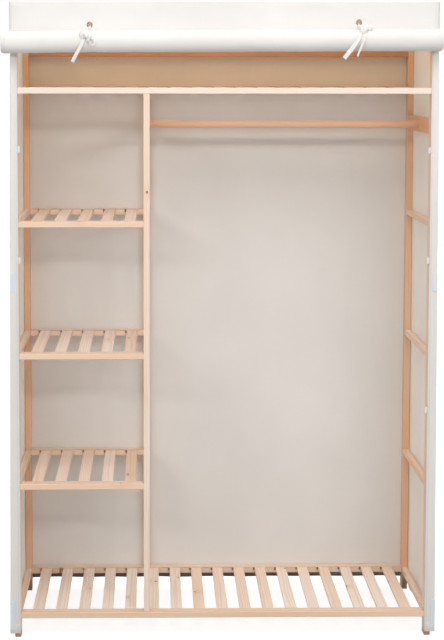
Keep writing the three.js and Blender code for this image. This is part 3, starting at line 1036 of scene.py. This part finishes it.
def addFrontCloth():
    # the valance and the stretch behind the roll, in one cloth
    low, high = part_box("front_valance")
    valanceBack, half, valanceBottom = high.y, high.x, low.z
    centres = [eyeletPlace("left"), eyeletPlace("right")]
    bottom = rollZ
    top = postTop + seam + canvasThickness

    def place(s, t):
        z = bottom + t
        pucker = 0.0
        for centre in centres:
            away = Vector((s, z)) - centre
            angle = math.atan2(away.y, away.x)
            near = math.exp(-((away.length / (26 * mm)) ** 2))
            near *= smooth(away.length, 8.5 * mm, 13 * mm)
            pucker += 1.3 * mm * near * (0.5 + 0.5 * math.cos(5 * angle + centre.x * 9))
        hanging = smooth(z, valanceBottom - 2 * mm, valanceBottom + 14 * mm)
        hanging *= 1 - smooth(z, top - 14 * mm, top)
        nearest = min((Vector((s, z)) - centre).length for centre in centres)
        calm = 1 - math.exp(-((nearest / (16 * mm)) ** 2))
        billow = 1.3 * mm * (0.5 + 0.5 * ripple(s * 4.2, z * 6, 21.5))
        billow += 0.4 * mm * ripple(s * 19, z * 11, 4.5)
        y = valanceBack - (billow * calm + pucker) * hanging
        left, right = cover["frontReach"]
        return Vector((s - left * smooth(-s, 0, half) + right * smooth(s, 0, half), y, z))

    nearEyelets = []
    for centre in centres:
        nearEyelets += steps(centre.x - 21 * mm, centre.x + 21 * mm, 28)
    plain = [
        x for x in steps(-half, half, 110)
        if min(abs(x - centre.x) for centre in centres) > 25 * mm
    ]
    seamX = half - cover["edgeSeam"]
    across = sorted(plain + nearEyelets + [-seamX, seamX])
    hidden = valanceBottom - bottom
    along = steps(0, hidden, 10) + steps(hidden + 2 * mm, top - bottom, 44)

    def nearBore(s, t):
        return min((Vector((s, bottom + t)) - centre).length for centre in centres) < 5 * mm

    mesh = clothMesh(across, along, place, nearBore)
    stitches = [("U", seamX), ("U", -seamX)]
    finish = canvasFinish("front_canvas", "XZ", stitches, cover["frontThrough"])
    nodes = ["front_valance", "front_curtain_sheet"]
    cloth = clothPiece("front_cloth", mesh, finish, nodes, None)
    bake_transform(cloth)


for side, sign in (("left", -1), ("right", 1)):
    addSideCloth(side, sign)
addBackCloth()
addRoofCloth()
addFrontCloth()
print("cover hung")


# The rolled curtain

roll = {
    "turns": 16,
    "core": 4 * mm,
    "left": -577 * mm,
    "right": 560.5 * mm,
    "telescope": 5 * mm,
    "endSwell": 0.4 * mm,
    "leftDroop": 1.8 * mm,
    "press": 0.9 * mm,
    "through": 0.08,
    "endTaper": 2.6 * mm,
    "dent": 0.55 * mm,
    "tallness": 0.06,
    "flatness": 0.955,
    "forward": 1.9 * mm,
    "slope": 0.005,
}


def addRoll():
    pitch = (rollRadius - canvasThickness - roll["core"]) / roll["turns"]
    # small steps on the two outer turns, larger ones on the turns inside
    outside, inside = 2, roll["turns"] - 2
    angles = steps(0, outside, outside * 52) + steps(outside, roll["turns"], inside * 22)[1:]

    def radiusAt(turn):
        return rollRadius - canvasThickness - pitch * turn

    lengths = [0.0]
    for a, b in zip(angles, angles[1:]):
        lengths.append(lengths[-1] + math.pi * (radiusAt(a) + radiusAt(b)) * (b - a))
    turnAt = dict(zip(lengths, angles))
    middle = (roll["left"] + roll["right"]) / 2
    half = (roll["right"] - roll["left"]) / 2

    def place(s, t):
        turn = turnAt[t]
        radius = radiusAt(turn)
        angle = -2 * math.pi * turn
        share = radius / rollRadius
        end = smooth(abs(s) / half, 0.93, 1.0)
        outer = smooth(radius, roll["core"], rollRadius)
        around = (math.cos(angle) * 0.9, math.sin(angle) * 0.9 + 5)
        dent = roll["dent"] * ripple(s * 7, *around) * share
        press = 0.0
        for x in (-eyeletX, eyeletX):
            press += roll["press"] * math.exp(-(((s + middle - x) / (9 * mm)) ** 2)) * share
        radius += dent - press + roll["endSwell"] * end * share
        radius -= roll["endTaper"] * smooth(abs(s) / half, 0.984, 1.0) ** 2 * share
        slide = roll["telescope"] * 0.5 * ripple(turn * 0.9, s * 3, 2.2) * (1 - outer)
        x = middle + s + math.copysign(end, s) * slide
        droop = roll["leftDroop"] * smooth(-x, eyeletX + 20 * mm, half)
        y = rollY - roll["forward"] + radius * roll["flatness"] * math.cos(angle)
        z = rollZ + radius * (1 + roll["tallness"]) * math.sin(angle) + roll["slope"] * x - droop
        return Vector((x, y, z))

    ends = [half * k for k in (0.94, 0.965, 0.984, 0.989, 0.993, 0.997, 1.0)]
    across = [-x for x in reversed(ends)] + steps(-half * 0.91, half * 0.91, 68) + ends
    mesh = clothMesh(across, lengths, place)
    seamX = half - cover["edgeSeam"]
    stitches = [("U", seamX), ("U", -seamX)]
    finish = canvasFinish("roll_canvas", "UV", stitches, roll["through"])
    piece = clothPiece("curtain_roll_cloth", mesh, finish, ["front_curtain_roll"], "curtain_roll")


addRoll()
print("curtain rolled")


# Ties, their knots and eyelets

tie = {
    "gathered": 6.4 * mm,
    "thickness": 0.8 * mm,
    "clearance": 1.3 * mm,
    "knotAway": 4.2 * mm,
    "steps": 110,
}


def aroundRoll(distance, degrees, x):
    angle = math.radians(degrees)
    up = distance * (1 + roll["tallness"]) * math.sin(angle)
    return Vector((0, rollY + distance * math.cos(angle), rollZ + up + roll["slope"] * x))


def tieLoop(x, eyeletZ, slant):
    # behind the cloth, through the eyelet, slanting over the roll and back up behind it
    near = rollRadius + tie["clearance"]
    low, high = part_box("front_valance")
    behind = high.y + 0.8 * mm
    route = [Vector((0, behind, eyeletZ - drop * mm)) for drop in (22, 7)]
    for forward, drop in ((-0.4, 3.6), (2.4, 7.5), (6, 14)):
        route.append(Vector((0, low.y - forward * mm, eyeletZ - drop * mm)))
    route += [aroundRoll(near, degrees, x) for degrees in range(112, 312, 10)]
    route += [Vector((0, behind, rollZ + up * mm)) for up in (-8, 12)]
    route.append(route[0].copy())
    for point in route:
        point.x = x + slant * smooth(-point.z, -rollZ - rollRadius, -rollZ + rollRadius)
    middle = Vector((x, rollY, rollZ + 12 * mm))
    count = tie["steps"]
    points = [curvePoint(route, share) for share in steps(0, 1, count)]

    def facing(share):
        out = points[min(count, int(share * count + 0.5))] - middle
        out.x = 0.0
        return out.normalized()

    return tapeMesh(route, tie["gathered"], facing, count, 0.25 * mm, 0, True)


def bowLoop(knot, centre, across, up, width, tilt):
    # a loop of the bow: out of the knot, round and back, its tape turned by tilt from edge-on
    middle = knot + Vector((centre[0] * mm, -1 * mm, centre[1] * mm))
    towards = (knot - middle).normalized()
    start = math.atan2(towards.z, towards.x)
    route = [knot + Vector((0, -2 * mm, 0))]
    for step in range(1, 12):
        angle = start + 2 * math.pi * step / 12
        forward = 1.5 * math.sin(angle - start)
        offset = Vector((across * math.cos(angle), -forward, up * math.sin(angle)))
        route.append(middle + offset * mm)
    route.append(knot + Vector((0, -1 * mm, 0)))
    turn = math.radians(tilt)

    def facing(share):
        out = (curvePoint(route, min(1, share)) - middle).normalized()
        return (out * math.cos(turn) + towardsRoom * math.sin(turn)).normalized()

    return tapeMesh(route, width * mm, facing, 36, 0.3 * mm)


def knotBand(centre, radiusAlong, radiusOut, width, tilt):
    # the band of tape that wraps the knot
    turn = Matrix.Rotation(math.radians(tilt), 3, "Y")
    route = []
    for angle in steps(0, 2 * math.pi, 12):
        point = Vector((0, -radiusOut * math.cos(angle), radiusAlong * math.sin(angle)))
        route.append(centre + turn @ point)

    def facing(share):
        return (curvePoint(route, min(1, share)) - centre).normalized()

    return tapeMesh(route, width, facing, 36, -0.5 * mm, 0, True)


bows = {
    "left": {
        "knot": (0.5, -17),
        "bands": [((0, 0), 10, 4.2, 7.5, 26), ((1.2, 4.5), 6, 3.4, 8, -50)],
        "loops": [((-17, 9), 6.5, 8.5, 4.5, 48), ((7.5, -10), 6, 9, 4, 60)],
        "slant": -29,
    },
    "right": {
        "knot": (8.5, 3.5),
        "bands": [
            ((0, 0), 9.5, 5, 9.5, 24),
            ((-3.5, -3.5), 8, 4.4, 9, -38),
            ((2.5, -5.5), 7, 3.8, 6, 20),
        ],
        "loops": [((12.5, 7), 7.5, 5, 5.5, 40), ((-8, 7.5), 7, 4.5, 5, 35)],
        "slant": -22,
    },
}


def addTie(side):
    place = eyeletPlace(side)
    bow = bows[side]
    dx, dz = bow["knot"]
    knot = Vector((place.x + dx * mm, 0, knotZ + dz * mm))
    above = max(0, knot.z - rollZ)
    knot.y = rollY - math.sqrt(max(0, (rollRadius + tie["knotAway"]) ** 2 - above * above))
    parts = [tieLoop(place.x, place.y, bow["slant"] * mm)]
    for (bandX, bandZ), radiusAlong, radiusOut, width, tilt in bow["bands"]:
        centre = knot + Vector((bandX * mm, -0.4 * mm, bandZ * mm))
        parts.append(knotBand(centre, radiusAlong * mm, radiusOut * mm, width * mm, tilt))
    for loop in bow["loops"]:
        parts.append(bowLoop(knot, *loop))
    piece = tapePiece(f"{side}_tie_bow", joinMeshes(parts), tie["thickness"], f"{side}_tie")
    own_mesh(piece)


eyelet = {"rim": 1.1 * mm, "bore": 0.5}
dullMetal = metalFinish("eyelet_metal")


def addEyelet(side):
    # a pressed ring, from its profile as distances from the middle and behind the cloth's face
    low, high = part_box(f"{side}_eyelet")
    place = eyeletPlace(side)
    outer = (high.x - low.x) / 2
    bore, rim, back = outer * eyelet["bore"], eyelet["rim"], -0.05 * mm
    profile = [(bore, canvasThickness), (bore, -0.2 * mm)]
    profile += [(bore + 0.7 * mm, -rim), (outer * 0.78, -rim * 1.05)]
    profile += [(outer - 0.4 * mm, -rim * 0.7), (outer, -0.15 * mm), (outer - 0.5 * mm, back)]
    profile += [(bore + 0.6 * mm, back), (bore + 0.6 * mm, canvasThickness)]
    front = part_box("front_valance")[0].y
    mesh = bmesh.new()
    ring = [mesh.verts.new((place.x + radius, front + depth, place.y)) for radius, depth in profile]
    edges = [mesh.edges.new(pair) for pair in zip(ring, ring[1:] + ring[:1])]
    turn = {"cent": (place.x, 0, place.y), "axis": (0, 1, 0), "angle": 2 * math.pi, "steps": 40}
    bmesh.ops.spin(mesh, geom=ring + edges, use_merge=True, **turn)
    bmesh.ops.recalc_face_normals(mesh, faces=mesh.faces)
    piece = addPiece(f"{side}_pressed_eyelet", softened(mesh), dullMetal)
    standsFor(piece, "eyelet_metal", f"{side}_eyelet")


for side in ("left", "right"):
    addTie(side)
    addEyelet(side)
print("ties tied")


# Hook-and-loop patches and post tapes

loopPile = loopFinish("loop_pile")
patchLook = {"dome": 0.9 * mm, "groove": 0.35 * mm, "pile": 0.12 * mm}


def addPatch(side, sign, level):
    node = f"{side}_{level}_patch"
    low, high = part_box(node)
    width, height = high.x - low.x, high.z - low.z
    middle = (low + high) / 2
    middle.x += sign * (flareAt(middle.z) + 1.5 * mm)
    stripFront = frontY - seam - canvasThickness - 1.1 * mm * (1 - middle.z / postTop)

    def place(s, t):
        edge = min(width / 2 - abs(s), height / 2 - abs(t))
        groove = smooth(edge, 1.3 * mm, 2 * mm) - smooth(edge, 2 * mm, 2.9 * mm)
        dome = patchLook["dome"] * smooth(edge, -0.2 * mm, 1.3 * mm) - patchLook["groove"] * groove
        dome += patchLook["pile"] * ripple(s * 700, t * 700, 3)
        return Vector((middle.x + s, stripFront - dome, middle.z + t))

    mesh = clothMesh(steps(-width / 2, width / 2, 16), steps(-height / 2, height / 2, 44), place)
    piece = addPiece(f"{side}_{level}_loop_patch", mesh, loopPile)
    thickened(piece, 0.5 * mm, -1)
    standsFor(piece, "hook_and_loop", node)


def addPostTape(name, sign):
    # round the post from outside at the back, with a knot and two ends at its inner front edge
    low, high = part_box(name)
    z = (low.z + high.z) / 2 + 7 * mm
    inner = innerX - 0.9 * mm
    rear = frontY + timberDepth + 0.9 * mm
    middleY = frontY + timberDepth / 2
    corners = [(outerX, rear), (inner + 3 * mm, rear), (inner, rear - 3 * mm)]
    corners += [(inner, middleY), (inner, frontY + 1 * mm)]
    route = [Vector((sign * x, y, z)) for x, y in corners]
    middle = Vector((sign * (innerX + 8 * mm), middleY, z))

    def facing(share):
        return (curvePoint(route, min(1, share)) - middle).normalized()

    knot = Vector((sign * (inner - 1.6 * mm), frontY + 3 * mm, z))
    parts = [tapeMesh(route, 8.5 * mm, facing, 30)]
    parts.append(knotBand(knot, 4.4 * mm, 2.6 * mm, 6 * mm, 15))
    for dx, dz, seed in ((-2.2, -12, 0.3), (1.0, -9, 1.1)):
        sway = ripple(z * 7, seed, 2)
        end = [knot + Vector((0, -1.5 * mm, -1 * mm))]
        end.append(knot + Vector((-sign * 0.8 * mm, -3 * mm, dz * 0.5 * mm)))
        end.append(knot + Vector((dx * mm * (0.6 + 0.4 * sway), -2.6 * mm, dz * mm)))
        parts.append(tapeMesh(end, 5 * mm, lambda share: towardsRoom, 10, 0.4 * mm, 12 * sway))
    tapePiece(name + "_knotted", joinMeshes(parts), 0.7 * mm, name)


for side, sign in (("left", -1), ("right", 1)):
    for level in ("upper", "lower"):
        addPatch(side, sign, level)
    for name in sorted(cadNodes):
        if name.startswith(f"{side}_post_tape"):
            addPostTape(name, sign)
print("patches and post tapes sewn on")


# Floor and light

studio = {
    "skyBelow": 0.2,
    "skyAbove": 0.8,
    "skyBehind": 0.5,
    "lamps": {
        "key": {"place": (0, -2.3, 3.6), "size": (2.2, 1.3), "power": 37, "aim": (0, 0, 1.0)},
        "left": {"place": (-1.8, -3.9, 2.5), "size": (2.0, 0.25), "power": 27, "aim": (0, 0, 1.0)},
        "right": {"place": (1.8, -3.9, 2.5), "size": (2.0, 0.25), "power": 33, "aim": (0, 0, 1.0)},
        "rear": {"place": (0, 1.2, 3.4), "size": (1.8, 0.8), "power": 40, "aim": (0, 0, 1.6)},
    },
    "floorColour": colour(165, 165, 165),
    "floorShine": 0.8,
}


def addFloor():
    # lit a little from within where it is seen, so that it looks white
    mesh = bmesh.new()
    bmesh.ops.create_grid(mesh, x_segments=1, y_segments=1, size=9)
    floor = Finish("studio_floor", Roughness=0.9, Specular_IOR_Level=0.1)
    x, y, _ = floor.place()
    grain = floor.noise(x * 30, y * 30, 0, 2)
    base = floor.shaded(studio["floorColour"], 0.99 + grain * 0.02)
    floor.feed(floor.shader, "Base Color", base)
    shine = {"Color": (1, 1, 1, 1), "Strength": studio["floorShine"]}
    lit = floor.node("AddShader", {0: floor.shell, 1: floor.node("Emission", shine)})
    floor.show(floor.seen(), floor.shell, lit)
    addPiece("studio_floor", mesh, floor.material, None)


def addSky():
    # white where it is seen, a soft gradient as light
    world = bpy.data.worlds.new("studio")
    bpy.context.scene.world = world
    world.use_nodes = True
    sky = Wiring(world.node_tree)
    sky.tree.nodes.clear()
    _, y, z = sky.split(sky.node("TexCoord", {}, "Generated"))
    rise = {"From Min": -0.5, "To Min": studio["skyBelow"], "To Max": studio["skyAbove"]}
    height = sky.node("MapRange", {"Value": z, **rise})
    behind = sky.node("MapRange", {"Value": y, "From Min": -0.3, "To Max": studio["skyBehind"]})
    light = sky.node("Background", {"Color": height + behind})
    white = sky.node("Background", {"Color": (1, 1, 1, 1), "Strength": 1})
    shown = sky.node("MixShader", {0: sky.seen(), 1: light, 2: white})
    output = sky.tree.nodes.new("ShaderNodeOutputWorld")
    sky.tree.links.new(shown.socket, output.inputs["Surface"])


def addLamps():
    for name, settings in studio["lamps"].items():
        light = bpy.data.lights.new(name + "_light", "AREA")
        light.shape = "RECTANGLE"
        light.size, light.size_y = settings["size"]
        light.energy = settings["power"]
        lamp = bpy.data.objects.new(name + "_light", light)
        lamp.location = settings["place"]
        aim = Vector(settings["aim"]) - lamp.location
        lamp.rotation_euler = aim.to_track_quat("-Z", "Y").to_euler()
        bpy.context.scene.collection.objects.link(lamp)


addFloor()
addSky()
addLamps()
bpy.context.scene.view_settings.view_transform = "Standard"
print("floor and light set")
